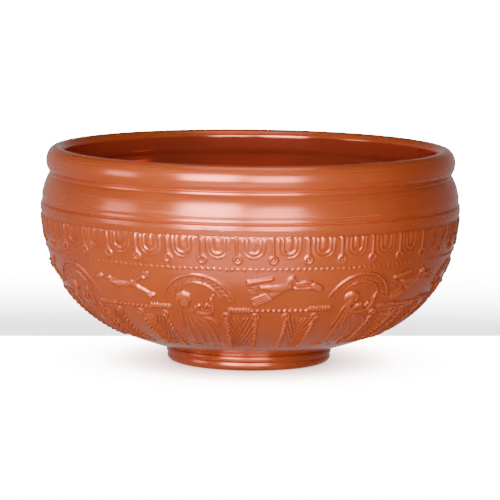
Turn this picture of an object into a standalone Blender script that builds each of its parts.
"""A deep moulded bowl of red gloss ware, standing on a turned foot ring.

The wall carries a frieze in low relief: a row of eggs and darts under the collar, then eight arches,
each over a draped figure, with running hounds and pairs of leaf columns between them.
The whole bowl is one closed solid. Its plain parts are turned: rings of points joined by strips.
The frieze is a set of strokes. Each has a middle line, a half width and a section, which says how
high it stands at each share of its half width. The strokes are laid out in a flat plan of the wall
that keeps their angles, the plan is cut into triangles, and these are lifted back onto the wall.
"""

import bpy
import numpy as np
from math import cos, pi, radians, sin, tau
from mathutils import Vector
from mathutils.geometry import delaunay_2d_cdt

# Sizes in metres, heights measured from the surface that the bowl stands on
# Foot ring
FOOT_RADIUS = 0.0433                 # its widest, on the upper band
FOOT_LOWER_RADIUS = 0.0429           # the top of the lower band
FOOT_SHOULDER_RADIUS = 0.0422        # where the lower band starts to round in
FOOT_SHOULDER_HEIGHT = 0.0019
FOOT_HEEL_RADIUS = 0.0405
FOOT_HEEL_HEIGHT = 0.0005
FOOT_TREAD_OUTER = 0.0392            # the flat ring that it stands on
FOOT_TREAD_INNER = 0.0335
FOOT_RECESS_RADIUS = 0.0322          # the hollow inside the ring, at its ceiling
FOOT_RECESS_DEPTH = 0.0055
FOOT_GROOVE_HEIGHT = 0.0046          # the turned line between the two bands
FOOT_GROOVE_RADIUS = 0.0425
FOOT_GROOVE_LIP = 0.0006             # half its width
FOOT_NECK_RADIUS = 0.0426            # where the wall leaves the foot
FOOT_HEIGHT = 0.0077
FOOT_EDGE_HEIGHT = 0.0069            # top edge of the upper band

# Wall, from the ledge under the collar to the foot
LEDGE_RADIUS = 0.1095
LEDGE_HEIGHT = 0.0782
WALL_LEAVES_FOOT = radians(20.7)     # slope above level
WALL_MEETS_LEDGE = radians(85.6)
WALL_FOOT_PULL = 0.0171              # how far each end's slope is held
WALL_LEDGE_PULL = 0.0589
WALL_THICKNESS = 0.0072              # clay at the ledge
WALL_FOOT_THICKNESS = 0.0086         # clay just above the foot
FLOOR_THICKNESS = 0.0088

# Collar, between the ledge and the rim: each rise is a height above the ledge, here and for the rim
RIDGE_RADIUS = 0.1099
RIDGE_RISE = 0.0028
RIDGE_TOP_RADIUS = 0.1094
LOW_GROOVE_RADIUS = 0.1082
LOW_GROOVE_RISE = 0.0064
COLLAR_RADIUS = 0.1090
COLLAR_RISE = 0.0088
COLLAR_MIDDLE_RADIUS = 0.1080
COLLAR_MIDDLE_RISE = 0.0152
COLLAR_TOP_RADIUS = 0.1060
COLLAR_TOP_RISE = 0.0199
HIGH_GROOVE_RADIUS = 0.1052
HIGH_GROOVE_RISE = 0.0215
HIGH_LIP_RADIUS = 0.1061
GROOVE_LIP = 0.0010                  # half the width of each groove

# Rim, a thick rounded bead
RIM_RADIUS = 0.1071
RIM_BELLY_RISE = 0.0269              # where the bead is widest
RIM_SHOULDER_RADIUS = 0.1062
RIM_SHOULDER_RISE = 0.0310
RIM_EDGE_RADIUS = 0.1046
RIM_EDGE_RISE = 0.0333
RIM_CREST_RADIUS = 0.1016
RIM_RISE = 0.0344
RIM_INNER_EDGE_RADIUS = 0.0985
RIM_INNER_EDGE_RISE = 0.0332
MOUTH_RADIUS = 0.0975                # the inner face of the bead
MOUTH_RISE = 0.0302
INNER_STEP_RISE = 0.0226             # the bead ends here, inside the bowl
INNER_GROOVE_RADIUS = 0.0988         # a turned line under it
INNER_GROOVE_RISE = 0.0210

# How finely round things are cut
RIM_SIDES = 48
INSIDE_SIDES = 32
FOOT_SIDES = 32
INSIDE_RINGS = 7
ARCH_BENDS = 7

# Frieze: depths are measured down the wall from the ledge
EGG_COUNT = 38
EGG_ANGLE = radians(1.0)             # one egg stands here; angle 0 faces -Y
EGG_TOP = 0.0008
EGG_BOTTOM = 0.0119
EGG_HALF_WIDTH = 0.0067
HUNG_OVER = 0.25                     # its flat top passes its middle line by this share of the half width
DART_BOTTOM = 0.0092
DART_HALF_WIDTH = 0.0008
DART_RING_DEPTH = 0.0124             # centre of the ring at a dart's point
DART_RING_RADIUS = 0.0024
ARCH_FOOT_DEPTH = 0.0395             # centre of the arches' circles
ARCH_RADIUS = 0.01655                # middle of the band
ARCH_HALF_WIDTH = 0.00305
ARCH_HALF_SPAN = radians(81)         # just short of a half circle
FIGURE_TOP_DEPTH = 0.0303
FIGURE_HEIGHT = 0.0472
HOUND_DEPTH = 0.0275
HOUND_LENGTH = 0.0385
BAR_DEPTH = 0.0414                   # the beaded row from arch to arch
BAR_ANGLE = radians(8.0)             # its ends, from the middle of each arch
BAR_HALF_WIDTH = 0.0009
CAPITAL_LENGTH = 0.0130              # its thicker ends, over the columns
CAPITAL_HALF_WIDTH = 0.0017
CAPITAL_RISE = 0.0006                # the right one sits higher
COLUMN_TOP_DEPTH = 0.0452
COLUMN_EDGE_DEPTH = 0.0490           # where the edges start, under the corner rings
COLUMN_FOOT_DEPTH = 0.0765
COLUMN_HALF_ANGLE = radians(4.5)
COLUMN_EDGE_HALF_WIDTH = 0.0009
CORNER_RING_RADIUS = 0.0022
LEAF_HALF_ANGLE = radians(2.9)
LEAF_HALF_WIDTH = 0.0007
LEAF_LENGTH = 0.0150
LEAF_TIPS = (0.0630, 0.0745)         # depths of the leaves' points
GROUND_SPACING = 0.0105              # between points on the plain ground
GROUND_MARGIN = 0.0022               # clear space they keep from a stroke

# How far each motif stands out from the wall
EGG_RELIEF = 0.0006
DART_RELIEF = 0.0006
RING_RELIEF = 0.0008
ARCH_RELIEF = 0.0009
ARCH_VALLEY_RELIEF = 0.0003          # between the two mouldings of an arch
FIGURE_RELIEF = 0.0015
LIMB_RELIEF = 0.0012
DRAPERY_RELIEF = 0.0009
FOLD_RELIEF = 0.0013
HOUND_RELIEF = 0.0012
LEG_RELIEF = 0.0008
BAR_RELIEF = 0.0007
COLUMN_RELIEF = 0.0007

# The arches were stamped one by one: the three at the front as they fell, the rest shared out evenly
ARCH_COUNT = 8
FRONT_ARCHES = (radians(-59.5), radians(-15.0), radians(33.3))
# After each arch: its column, its hound, and the second column measured back from the next arch
FRONT_GAPS = ((radians(10.9), radians(22.0), radians(16.0)),
              (radians(12.4), radians(24.3), radians(17.7)),
              (radians(12.1), radians(20.7), radians(18.2)))
OTHER_GAP = (radians(12.2), radians(22.3), radians(17.0))
LEAPING_GAPS = (1, 2, 4, 6)          # the other gaps hold the slim hound

# Red slip
SLIP_COLOUR = (0.42, 0.105, 0.032, 1.0)
SLIP_ROUGHNESS = 0.32


def clear_scene():
    """Empties the scene of its objects."""
    for thing in list(bpy.data.objects):
        bpy.data.objects.remove(thing, do_unlink=True)


def bezier(start, start_pull, end_pull, end, count):
    """Points along a cubic curve: each mixes the four corners by the cubic Bernstein weights."""
    t = np.linspace(0.0, 1.0, count)[:, None]
    return ((1 - t) ** 3 * start + 3 * (1 - t) ** 2 * t * start_pull
            + 3 * (1 - t) * t ** 2 * end_pull + t ** 3 * end)


class Wall:
    """The plain wall: where a point lies, given its angle, its depth down the wall and its relief."""

    def __init__(self, count=400):
        ledge = np.array([LEDGE_RADIUS, LEDGE_HEIGHT])
        neck = np.array([FOOT_NECK_RADIUS, FOOT_HEIGHT])
        ledge_way = np.array([cos(WALL_MEETS_LEDGE), sin(WALL_MEETS_LEDGE)])
        neck_way = np.array([cos(WALL_LEAVES_FOOT), sin(WALL_LEAVES_FOOT)])
        self.curve = bezier(ledge, ledge - WALL_LEDGE_PULL * ledge_way,
                            neck + WALL_FOOT_PULL * neck_way, neck, count)
        # outward: the way down the curve, turned a quarter turn
        way = np.gradient(self.curve, axis=0)
        normal = np.stack([-way[:, 1], way[:, 0]], 1)
        self.normal = normal / np.linalg.norm(normal, axis=1)[:, None]
        steps = np.linalg.norm(np.diff(self.curve, axis=0), axis=1)
        self.depth = np.concatenate([[0.0], np.cumsum(steps)])
        # the plan keeps angles when its radius shrinks, over each step down the wall, by the same
        # share as the step is of the wall's radius: its logarithm is the running sum of the shares
        radius = self.curve[:, 0]
        shares = steps * 2 / (radius[1:] + radius[:-1])
        self.plan_radius = np.exp(-np.concatenate([[0.0], np.cumsum(shares)]))

    def radius(self, depth):
        return np.interp(depth, self.depth, self.curve[:, 0])

    def height(self, depth):
        return np.interp(depth, self.depth, self.curve[:, 1])

    def outward(self, depth):
        """The radial and the upward part of the wall's normal."""
        return (np.interp(depth, self.depth, self.normal[:, 0]),
                np.interp(depth, self.depth, self.normal[:, 1]))

    def to_plan(self, angle, depth):
        reach = np.interp(depth, self.depth, self.plan_radius)
        return np.stack([reach * np.cos(angle), reach * np.sin(angle)], -1)

    def from_plan(self, plan):
        reach = np.hypot(plan[:, 0], plan[:, 1])
        depth = np.interp(-reach, -self.plan_radius, self.depth)
        return np.arctan2(plan[:, 1], plan[:, 0]), depth

    def to_space(self, angle, depth, relief):
        out, up = self.outward(depth)
        r = self.radius(depth) + relief * out
        z = self.height(depth) + relief * up
        return np.stack([r * np.sin(angle), -r * np.cos(angle), z], -1)


def ridge(relief):
    """A section that rises straight from the edge to the middle line."""
    return ((1.0, 0.0), (0.0, relief))


def rounded(relief):
    """A section that rises fast to a broad, gently domed top."""
    return ((1.0, 0.0), (0.6, 0.85 * relief), (0.0, relief))


def stroke(points, widths, section, unit=1.0, ends="flat"):
    """One raised stroke: its middle line, its half width at each point, its section, and how its
    ends are cut: flat, round, or hung, which is cut square at the start and round at the end."""
    middle = np.array(points, float) * unit
    half = np.broadcast_to(np.array(widths, float), (len(points),)) * unit
    return {"middle": middle, "half": half, "section": section, "ends": ends}


def egg_strokes():
    """An egg: a U moulding with a tongue in it, both hanging from the ledge."""
    section = ((1.0, 0.0), (0.86, EGG_RELIEF), (0.68, 0.2 * EGG_RELIEF), (0.0, 1.25 * EGG_RELIEF))
    start = EGG_TOP + HUNG_OVER * EGG_HALF_WIDTH
    return [stroke([(0.0, start), (0.0, EGG_BOTTOM - EGG_HALF_WIDTH)], EGG_HALF_WIDTH, section, ends="hung")]


def dart_strokes():
    """A dart: a rod that ends in a ring."""
    lean = 0.25 * DART_HALF_WIDTH
    rod_top = EGG_TOP + 0.6 * DART_HALF_WIDTH
    return [stroke([(-lean, rod_top), (lean, DART_BOTTOM)], DART_HALF_WIDTH, ridge(DART_RELIEF)),
            stroke([(lean, DART_RING_DEPTH)], DART_RING_RADIUS, ridge(RING_RELIEF))]


def arch_strokes():
    """An arch: a band bent round, with a moulding along each side."""
    section = ((1.0, 0.0), (0.72, ARCH_RELIEF), (0.0, ARCH_VALLEY_RELIEF))
    turn = np.linspace(-ARCH_HALF_SPAN, ARCH_HALF_SPAN, ARCH_BENDS)
    middle = [(ARCH_RADIUS * sin(a), ARCH_FOOT_DEPTH - ARCH_RADIUS * cos(a)) for a in turn]
    return [stroke(middle, ARCH_HALF_WIDTH, section)]


def figure_strokes():
    """A draped figure with one arm raised, in hundredths of its own height from the crown down."""
    unit = FIGURE_HEIGHT / 100
    parts = [
        stroke([(-12.3, 7.6), (-12.3, 10.4)], 8.6, rounded(FIGURE_RELIEF), unit, "round"),
        stroke([(-6, 27), (-5, 43), (-3, 62), (-3, 83)], (12, 11, 13, 16), ridge(DRAPERY_RELIEF), unit),
        stroke([(-19, 21), (-21, 37), (-24, 56)], (3.4, 3.2, 2.6), ridge(LIMB_RELIEF), unit),
        stroke([(16.8, 8), (13.5, 22), (3, 23)], (4.0, 3.4, 3.2), ridge(LIMB_RELIEF), unit),
        stroke([(3, 33), (16, 45), (18, 74)], (2.6, 2.8, 2.4), ridge(FOLD_RELIEF), unit),
        stroke([(-9.5, 46), (-12.5, 78)], 2.6, ridge(FOLD_RELIEF), unit),
        stroke([(-19, 93), (-11, 95)], 6.0, ridge(LIMB_RELIEF), unit),
        stroke([(12.5, 89), (14, 97)], 4.5, ridge(LIMB_RELIEF), unit),
    ]
    for part in parts:
        part["middle"] = part["middle"] + np.array([0.0, FIGURE_TOP_DEPTH])
    return parts


def leaping_hound():
    """A stout hound leaping to the right, in hundredths of its length from the middle of its back."""
    unit = HOUND_LENGTH / 100
    parts = [
        stroke([(-24, 0), (-5, -2), (9, -6)], (7, 8.5, 7), ridge(HOUND_RELIEF), unit),
        stroke([(9, -9), (13.5, -16)], (5.5, 3.6), ridge(HOUND_RELIEF), unit),
        stroke([(18, -8.5), (37, -8.5)], 2.4, ridge(LEG_RELIEF), unit),
        stroke([(18, -1.0), (37, 0.5)], 2.4, ridge(LEG_RELIEF), unit),
        stroke([(42, -4.5), (49, 0.5)], 5.2, ridge(HOUND_RELIEF), unit),
        stroke([(-12, 9), (-34, 22), (-31, 28)], (6.6, 5.0, 3.0), ridge(LEG_RELIEF), unit),
        stroke([(-46, -5), (-29, -11.5), (-13, -15)], (3.6, 3.0, 2.4), ridge(LEG_RELIEF), unit),
    ]
    for part in parts:
        part["middle"] = part["middle"] + np.array([0.0, HOUND_DEPTH])
    return parts


def coursing_hound():
    """A slim hound running to the left with its tail curled up, in hundredths of its length."""
    unit = HOUND_LENGTH / 100
    parts = [
        stroke([(-23, 1.5), (-4, 4), (18, 0)], (4, 5.4, 4), ridge(HOUND_RELIEF), unit),
        stroke([(-32, -3.5), (-24, -5)], (3.2, 3.8), ridge(HOUND_RELIEF), unit),
        stroke([(-49, -4.5), (-39, -5)], 2.6, ridge(LEG_RELIEF), unit),
        stroke([(21, -4), (32, -9), (38.5, -17.5)], (2.2, 2.4, 2.8), ridge(LEG_RELIEF), unit),
        stroke([(20, 3), (29, 9), (42, 15.5)], (3.4, 2.8, 3.2), ridge(LEG_RELIEF), unit),
        stroke([(-12, 11), (-27, 14)], 2.0, ridge(LEG_RELIEF), unit),
    ]
    for part in parts:
        part["middle"] = part["middle"] + np.array([0.0, HOUND_DEPTH])
    return parts


def column_strokes(wall):
    """A column: two edges that follow the wall, nested leaves between, a ring at each top corner."""
    found = []
    levels = np.linspace(COLUMN_EDGE_DEPTH, COLUMN_FOOT_DEPTH, 3)
    for side in (-1, 1):
        edge = [(side * COLUMN_HALF_ANGLE * wall.radius(d), d) for d in levels]
        found.append(stroke(edge, COLUMN_EDGE_HALF_WIDTH, ridge(COLUMN_RELIEF)))
        corner = side * COLUMN_HALF_ANGLE * wall.radius(COLUMN_TOP_DEPTH)
        found.append(stroke([(corner, COLUMN_TOP_DEPTH)], CORNER_RING_RADIUS, ridge(RING_RELIEF)))
    for tip in LEAF_TIPS:
        reach = LEAF_HALF_ANGLE * wall.radius(tip - LEAF_LENGTH)
        leaf = [(-reach, tip - LEAF_LENGTH), (0.0, tip), (reach, tip - LEAF_LENGTH)]
        found.append(stroke(leaf, LEAF_HALF_WIDTH, ridge(COLUMN_RELIEF)))
    return found


def bar_strokes(wall, span):
    """The beaded row between two arches, about its own middle, with its two thicker capitals."""
    reach = (span / 2 - BAR_ANGLE) * wall.radius(BAR_DEPTH)
    bar = reach - CAPITAL_LENGTH - 2 * BAR_HALF_WIDTH
    inner = reach - CAPITAL_LENGTH + CAPITAL_HALF_WIDTH
    outer = reach - CAPITAL_HALF_WIDTH
    right_depth = BAR_DEPTH - CAPITAL_RISE
    thick = ridge(COLUMN_RELIEF)
    return [stroke([(-bar, BAR_DEPTH), (0.0, BAR_DEPTH), (bar, BAR_DEPTH)], BAR_HALF_WIDTH, ridge(BAR_RELIEF)),
            stroke([(-outer, BAR_DEPTH), (-inner, BAR_DEPTH)], CAPITAL_HALF_WIDTH, thick),
            stroke([(inner, right_depth), (outer, right_depth)], CAPITAL_HALF_WIDTH, thick)]


def arch_angles():
    """The middle of each arch: the front ones where they were stamped, the rest evenly between."""
    steps = ARCH_COUNT - len(FRONT_ARCHES) + 1
    left = tau - (FRONT_ARCHES[-1] - FRONT_ARCHES[0])
    behind = [FRONT_ARCHES[-1] + left * k / steps for k in range(1, steps)]
    return list(FRONT_ARCHES) + behind


def placed_motifs(wall):
    """Every motif of the frieze as a pair: the angle of its middle, and its strokes."""
    motifs = []
    egg, dart = egg_strokes(), dart_strokes()
    for k in range(EGG_COUNT):
        angle = EGG_ANGLE + tau * k / EGG_COUNT
        motifs.append((angle, egg))
        motifs.append((angle + pi / EGG_COUNT, dart))
    arches = arch_angles()
    arch, figure, column = arch_strokes(), figure_strokes(), column_strokes(wall)
    leaping, coursing = leaping_hound(), coursing_hound()
    for k, angle in enumerate(arches):
        following = arches[k + 1] if k + 1 < ARCH_COUNT else arches[0] + tau
        left, hound_at, right = FRONT_GAPS[k] if k < len(FRONT_GAPS) else OTHER_GAP
        motifs.append((angle, arch + figure))
        motifs.append((angle + hound_at, leaping if k in LEAPING_GAPS else coursing))
        motifs.append((angle + left, column))
        motifs.append((following - right, column))
        motifs.append(((angle + following) / 2, bar_strokes(wall, following - angle)))
    return motifs


def outline_of(part, share):
    """The closed outline of a stroke at a share of its half width."""
    middle, half = part["middle"], part["half"] * share
    if len(middle) == 1:
        turn = np.arange(5) * tau / 5
        return middle[0] + half[0] * np.stack([np.cos(turn), np.sin(turn)], 1)
    steps = np.diff(middle, axis=0)
    steps = steps / np.linalg.norm(steps, axis=1)[:, None]
    ways = np.concatenate([steps[:1], steps[:-1] + steps[1:], steps[-1:]])
    ways = ways / np.linalg.norm(ways, axis=1)[:, None]
    # at a bend the sides stand further off, by one over the cosine of half the turn
    lean = (ways[1:] * steps).sum(1)
    lean = np.concatenate([[1.0], lean[:-1], [1.0]])
    sides = np.stack([-ways[:, 1], ways[:, 0]], 1) * (half / np.maximum(lean, 0.22))[:, None]
    left, right = middle + sides, middle - sides
    back, ahead = -ways[0] * half[0], ways[-1] * half[-1]
    kind = part["ends"]
    over = {"flat": (0.6, 0.6), "round": (0.35, 0.35), "hung": (HUNG_OVER, 0.5)}[kind]
    narrow = {"flat": (1.0, 1.0), "round": (0.94, 0.94), "hung": (1.0, 0.86)}[kind]
    for side, sign in ((left, 1), (right, -1)):
        side[0] = middle[0] + sign * sides[0] * narrow[0] + back * over[0]
        side[-1] = middle[-1] + sign * sides[-1] * narrow[1] + ahead * over[1]
    noses = [] if kind == "flat" else [middle[-1] + ahead]
    tails = [middle[0] + back] if kind == "round" else []
    return np.array(list(left) + noses + list(right[::-1]) + tails)


def relief_at(motifs, wall, angle, depth):
    """The relief at points of the wall: the highest of all strokes there. A point's share is its
    distance from the middle line over the half width, and the stroke's section turns it to relief."""
    relief = np.zeros(len(angle))
    radius = wall.radius(depth)
    for middle_angle, parts in motifs:
        x = ((angle - middle_angle + pi) % tau - pi) * radius
        for part in parts:
            line, half = part["middle"], part["half"]
            low, high = line.min(0) - half.max(), line.max(0) + half.max()
            near = np.nonzero((x > low[0]) & (x < high[0]) & (depth > low[1]) & (depth < high[1]))[0]
            if not len(near):
                continue
            here = np.stack([x[near], depth[near]], 1)
            share = np.linalg.norm(here - line[0], axis=1) / half[0]
            for a, b, half_a, half_b in zip(line[:-1], line[1:], half[:-1], half[1:]):
                way = b - a
                t = np.clip((here - a) @ way / (way @ way), 0.0, 1.0)
                gap = np.linalg.norm(here - a - t[:, None] * way, axis=1)
                share = np.minimum(share, gap / (half_a + t * (half_b - half_a)))
            shares, heights = zip(*part["section"][::-1])
            relief[near] = np.maximum(relief[near], np.interp(share, shares, heights))
    return relief


class Plan:
    """The flat plan of the frieze: points, and the edges that the triangles must keep."""

    def __init__(self, wall):
        self.wall = wall
        self.points, self.edges = [], []

    def add(self, angles, depths, joined=True, closed=True):
        first = len(self.points)
        self.points.extend(Vector(p) for p in self.wall.to_plan(angles, depths))
        last = len(self.points) - 1
        if joined:
            self.edges.extend((i, i + 1) for i in range(first, last))
        if closed:
            self.edges.append((last, first))

    def add_motif(self, middle_angle, parts):
        """Adds the outlines of strokes, one for each step of their sections, and their middle lines."""
        for part in parts:
            for share, height in part["section"]:
                line = outline_of(part, share) if share else part["middle"]
                angles = middle_angle + line[:, 0] / self.wall.radius(line[:, 1])
                self.add(angles, line[:, 1], closed=share > 0)

    def add_ground(self, motifs):
        """Adds points where no stroke is near, so that the wall keeps its roundness there."""
        deepest = self.wall.depth[-1]
        rows = round(deepest / GROUND_SPACING)
        for row in range(1, rows):
            depth = deepest * row / rows
            radius = self.wall.radius(depth)
            count = round(tau * radius / GROUND_SPACING)
            turn = (np.arange(count) + 0.5 * (row % 2)) * tau / count
            clear = np.ones(count, bool)
            for aside in (-GROUND_MARGIN, 0.0, GROUND_MARGIN):
                for down in (-GROUND_MARGIN, 0.0, GROUND_MARGIN):
                    level = np.full(count, depth + down)
                    clear &= relief_at(motifs, self.wall, turn + aside / radius, level) == 0.0
            self.add(turn[clear], np.full(clear.sum(), depth), joined=False, closed=False)


def frieze_mesh(wall):
    """The relief wall: its points, its triangles, and the numbers of its top and bottom points."""
    motifs = placed_motifs(wall)
    plan = Plan(wall)
    plan.add(np.arange(RIM_SIDES) * tau / RIM_SIDES, np.zeros(RIM_SIDES))
    plan.add(np.arange(FOOT_SIDES) * tau / FOOT_SIDES, np.full(FOOT_SIDES, wall.depth[-1]))
    for middle_angle, parts in motifs:
        plan.add_motif(middle_angle, parts)
    plan.add_ground(motifs)
    found = delaunay_2d_cdt(plan.points, plan.edges, [], 0, 1e-4)
    place = {first: number for number, ids in enumerate(found[3]) for first in ids}
    top = [place[k] for k in range(RIM_SIDES)]
    foot = [place[RIM_SIDES + k] for k in range(FOOT_SIDES)]
    hole = set(foot)
    faces = [tuple(face[::-1]) for face in found[2] if not hole.issuperset(face)]
    angle, depth = wall.from_plan(np.array(found[0]))
    relief = relief_at(motifs, wall, angle, depth)
    relief[top + foot] = 0.0
    return wall.to_space(angle, depth, relief), faces, top, foot


def collar_profile():
    """The collar and the rim: from the ridge, over the crest and down to the line inside the bowl."""
    bands = ((RIDGE_RADIUS, RIDGE_RISE),
             (RIDGE_TOP_RADIUS, LOW_GROOVE_RISE - GROOVE_LIP),
             (LOW_GROOVE_RADIUS, LOW_GROOVE_RISE),
             (COLLAR_RADIUS, COLLAR_RISE),
             (COLLAR_MIDDLE_RADIUS, COLLAR_MIDDLE_RISE),
             (COLLAR_TOP_RADIUS, COLLAR_TOP_RISE),
             (HIGH_GROOVE_RADIUS, HIGH_GROOVE_RISE),
             (HIGH_LIP_RADIUS, HIGH_GROOVE_RISE + GROOVE_LIP),
             (RIM_RADIUS, RIM_BELLY_RISE),
             (RIM_SHOULDER_RADIUS, RIM_SHOULDER_RISE),
             (RIM_EDGE_RADIUS, RIM_EDGE_RISE),
             (RIM_CREST_RADIUS, RIM_RISE),
             (RIM_INNER_EDGE_RADIUS, RIM_INNER_EDGE_RISE),
             (MOUTH_RADIUS, MOUTH_RISE),
             (MOUTH_RADIUS, INNER_STEP_RISE),
             (INNER_GROOVE_RADIUS, INNER_GROOVE_RISE))
    return [(radius, LEDGE_HEIGHT + rise) for radius, rise in bands]


def inside_profile(wall):
    """The inside of the wall: the outside moved in along its normal by the thickness of the clay."""
    share = np.linspace(0.0, 1.0, INSIDE_RINGS)
    depth = share * wall.depth[-1]
    clay = WALL_THICKNESS + share * (WALL_FOOT_THICKNESS - WALL_THICKNESS)
    out, up = wall.outward(depth)
    return list(zip(wall.radius(depth) - clay * out, wall.height(depth) - clay * up))


def foot_profile():
    """The foot, from just under the neck round the tread and up into the recess."""
    return ((FOOT_RADIUS, FOOT_EDGE_HEIGHT),
            (FOOT_RADIUS, FOOT_GROOVE_HEIGHT + FOOT_GROOVE_LIP),
            (FOOT_GROOVE_RADIUS, FOOT_GROOVE_HEIGHT),
            (FOOT_LOWER_RADIUS, FOOT_GROOVE_HEIGHT - FOOT_GROOVE_LIP),
            (FOOT_SHOULDER_RADIUS, FOOT_SHOULDER_HEIGHT),
            (FOOT_HEEL_RADIUS, FOOT_HEEL_HEIGHT),
            (FOOT_TREAD_OUTER, 0.0),
            (FOOT_TREAD_INNER, 0.0),
            (FOOT_RECESS_RADIUS, FOOT_RECESS_DEPTH))


class Shell:
    """Gathers the points and the triangles of the whole bowl."""

    def __init__(self, points, faces):
        self.points = [tuple(p) for p in points]
        self.faces = list(faces)

    def ring(self, radius, height, sides):
        """Adds a level ring of points and gives their numbers."""
        first = len(self.points)
        turns = [tau * k / sides for k in range(sides)]
        self.points.extend((radius * sin(a), -radius * cos(a), height) for a in turns)
        return list(range(first, first + sides))

    def strip(self, upper, lower):
        """Joins two rings of any number of points, each time stepping along the one that lags."""
        i = j = 0
        while i < len(upper) or j < len(lower):
            a, b = upper[i % len(upper)], lower[j % len(lower)]
            if j == len(lower) or (i < len(upper) and (i + 1) / len(upper) <= (j + 1) / len(lower)):
                i += 1
                self.faces.append((a, b, upper[i % len(upper)]))
            else:
                j += 1
                self.faces.append((a, b, lower[j % len(lower)]))

    def cap(self, ring, height):
        """Closes a ring with a point on the axis, for a face that looks up."""
        self.points.append((0.0, 0.0, height))
        centre = len(self.points) - 1
        for k, number in enumerate(ring):
            self.faces.append((number, ring[(k + 1) % len(ring)], centre))


def bowl_mesh():
    """The whole bowl as one closed mesh."""
    wall = Wall()
    space, faces, top, foot = frieze_mesh(wall)
    shell = Shell(space, faces)

    above = top
    for radius, height in collar_profile():
        ring = shell.ring(radius, height, RIM_SIDES)
        shell.strip(ring, above)
        above = ring
    for radius, height in inside_profile(wall):
        ring = shell.ring(radius, height, INSIDE_SIDES)
        shell.strip(ring, above)
        above = ring
    shell.cap(above, FOOT_RECESS_DEPTH + FLOOR_THICKNESS)

    below = foot
    for radius, height in foot_profile():
        ring = shell.ring(radius, height, FOOT_SIDES)
        shell.strip(below, ring)
        below = ring
    shell.cap(below[::-1], FOOT_RECESS_DEPTH)
    mesh = bpy.data.meshes.new("bowl")
    mesh.from_pydata(shell.points, [], shell.faces)
    mesh.update()
    return mesh


def slip_material():
    """The red gloss slip that covers the clay."""
    material = bpy.data.materials.new("red_slip")
    material.use_nodes = True
    shader = material.node_tree.nodes["Principled BSDF"]
    shader.inputs["Base Color"].default_value = SLIP_COLOUR
    shader.inputs["Roughness"].default_value = SLIP_ROUGHNESS
    shader.inputs["Metallic"].default_value = 0.0
    return material


def build_bowl():
    """Builds the bowl in the scene."""
    mesh = bowl_mesh()
    mesh.materials.append(slip_material())
    mesh.shade_smooth()
    bowl = bpy.data.objects.new("bowl", mesh)
    bpy.context.collection.objects.link(bowl)


clear_scene()
build_bowl()
